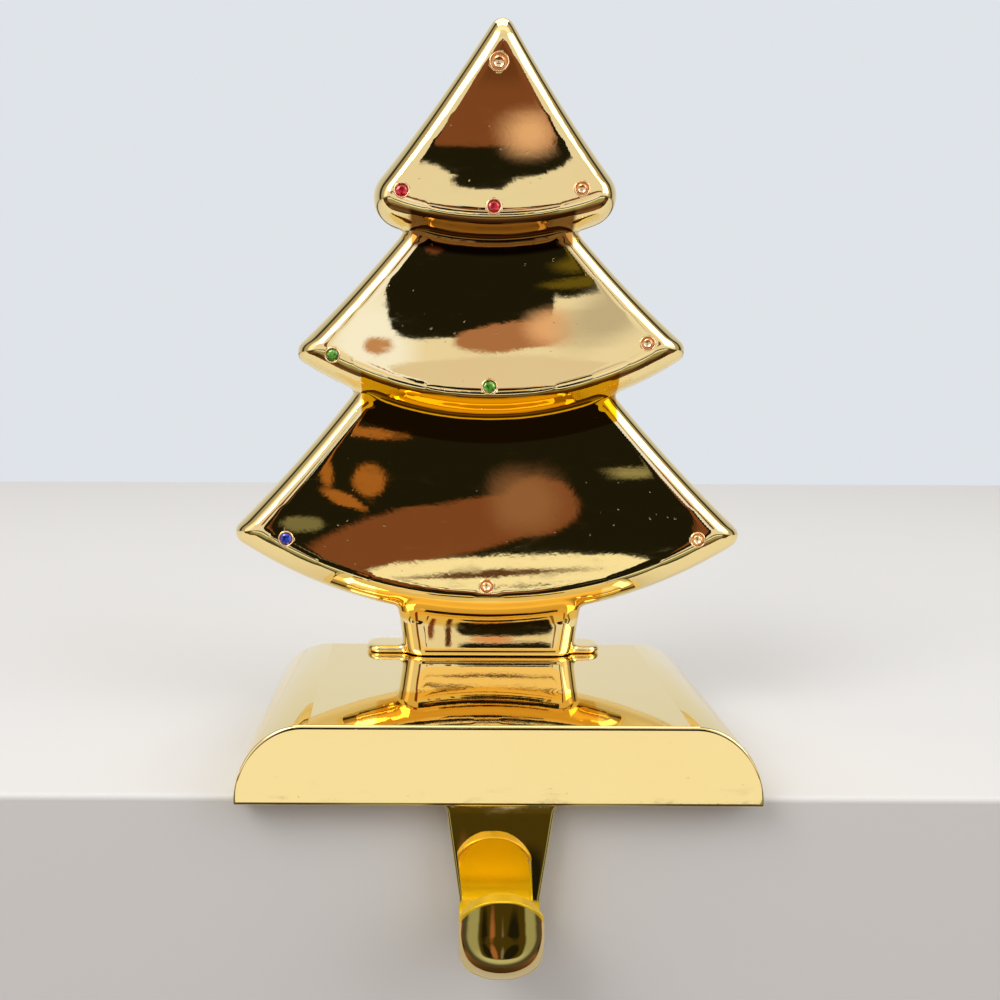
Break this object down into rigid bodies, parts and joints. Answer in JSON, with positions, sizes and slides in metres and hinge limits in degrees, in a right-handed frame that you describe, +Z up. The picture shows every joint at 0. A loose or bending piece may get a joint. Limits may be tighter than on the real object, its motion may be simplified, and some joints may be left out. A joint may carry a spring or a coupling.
{
  "type": "mantel stocking holder",
  "caption": "Polished gold-coloured stocking holder: a heavy arched base block with a cast J-hook below its front, and a tiered fir tree with small coloured stones on top.",
  "frame": {"origin": "the point of the resting plane under the centre of the base block", "axes": "+X to the right, +Y to the back, +Z up; the hook hangs below the front, -Y, edge of the block"},
  "size_m": [0.1246, 0.0826, 0.2021],
  "materials": {
    "gold_casting": "polished, light gold plating",
    "pad_rubber": "matt non-slip",
    "screw_steel": "zinc-plated",
    "stone_red": "faceted, foil-backed",
    "stone_green": "faceted, foil-backed",
    "stone_blue": "faceted, foil-backed"
  },
  "bodies": {
    "root": {"base_with_hook": "gold_casting", "tree_casting": "gold_casting", "base_pad": "pad_rubber", "foot_screws": "screw_steel", "stone_upper_left_red": "stone_red", "stone_upper_centre_red": "stone_red", "stone_middle_left_green": "stone_green", "stone_middle_centre_green": "stone_green", "stone_lower_left_blue": "stone_blue"}
  },
  "joints": []
}
